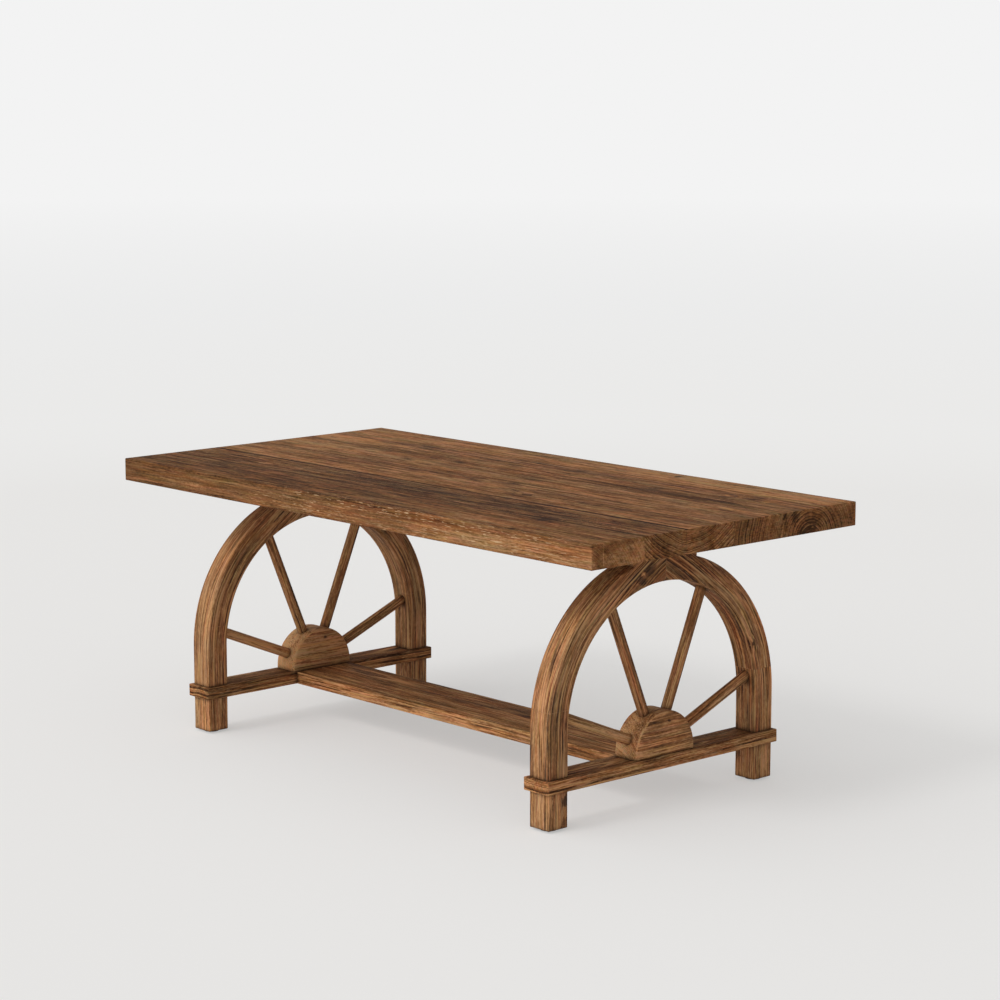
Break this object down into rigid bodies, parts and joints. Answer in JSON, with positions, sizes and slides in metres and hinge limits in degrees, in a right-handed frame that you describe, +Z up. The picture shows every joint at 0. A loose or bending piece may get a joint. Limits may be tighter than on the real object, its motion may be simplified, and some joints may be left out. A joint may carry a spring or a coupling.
{
  "type": "coffee table",
  "caption": "Low rectangular wood table: thick planked top on half-wagon-wheel leg frames with round spokes, tied by a flat stretcher.",
  "frame": {"origin": "on the floor, under the middle of the top", "axes": "+X along the length of the top, +Y across it, +Z up; front is -Y and back is +Y"},
  "size_m": [1.2, 0.6, 0.482],
  "materials": {
    "top_wood": "brushed reclaimed wood, dark honey brown with grey streaks, matte wax",
    "frame_wood": "brushed reclaimed wood, orange brown, matte wax",
    "foot_wood": "brushed reclaimed wood, brown with dark end grain, matte wax",
    "rail_wood": "brushed reclaimed wood, orange brown, matte wax",
    "hub_wood": "brushed reclaimed wood, orange brown with knots, matte wax",
    "spoke_wood": "turned wood, lighter orange brown, matte wax",
    "stretcher_wood": "brushed reclaimed wood, brown with a dark streak, matte wax",
    "tenon_wood": "bare beech",
    "steel": "zinc-plated steel",
    "glide_plastic": "matte black"
  },
  "bodies": {
    "root": {"top_board_1": "top_wood", "top_board_2": "top_wood", "top_board_3": "top_wood", "top_board_4": "top_wood", "top_board_5": "top_wood", "top_board_6": "top_wood", "felloe_right_front": "frame_wood", "post_right_front": "frame_wood", "foot_right_front": "foot_wood", "felloe_right_back": "frame_wood", "post_right_back": "frame_wood", "foot_right_back": "foot_wood", "rail_right": "rail_wood", "hub_right": "hub_wood", "spoke_right_1": "spoke_wood", "spoke_right_2": "spoke_wood", "spoke_right_3": "spoke_wood", "spoke_right_4": "spoke_wood", "felloe_left_front": "frame_wood", "post_left_front": "frame_wood", "foot_left_front": "foot_wood", "felloe_left_back": "frame_wood", "post_left_back": "frame_wood", "foot_left_back": "foot_wood", "rail_left": "rail_wood", "hub_left": "hub_wood", "spoke_left_1": "spoke_wood", "spoke_left_2": "spoke_wood", "spoke_left_3": "spoke_wood", "spoke_left_4": "spoke_wood", "stretcher": "stretcher_wood", "top_tongues": "tenon_wood", "felloe_tenons": "tenon_wood", "crown_tenons": "tenon_wood", "crown_screws": "steel", "glides": "glide_plastic"}
  },
  "joints": []
}
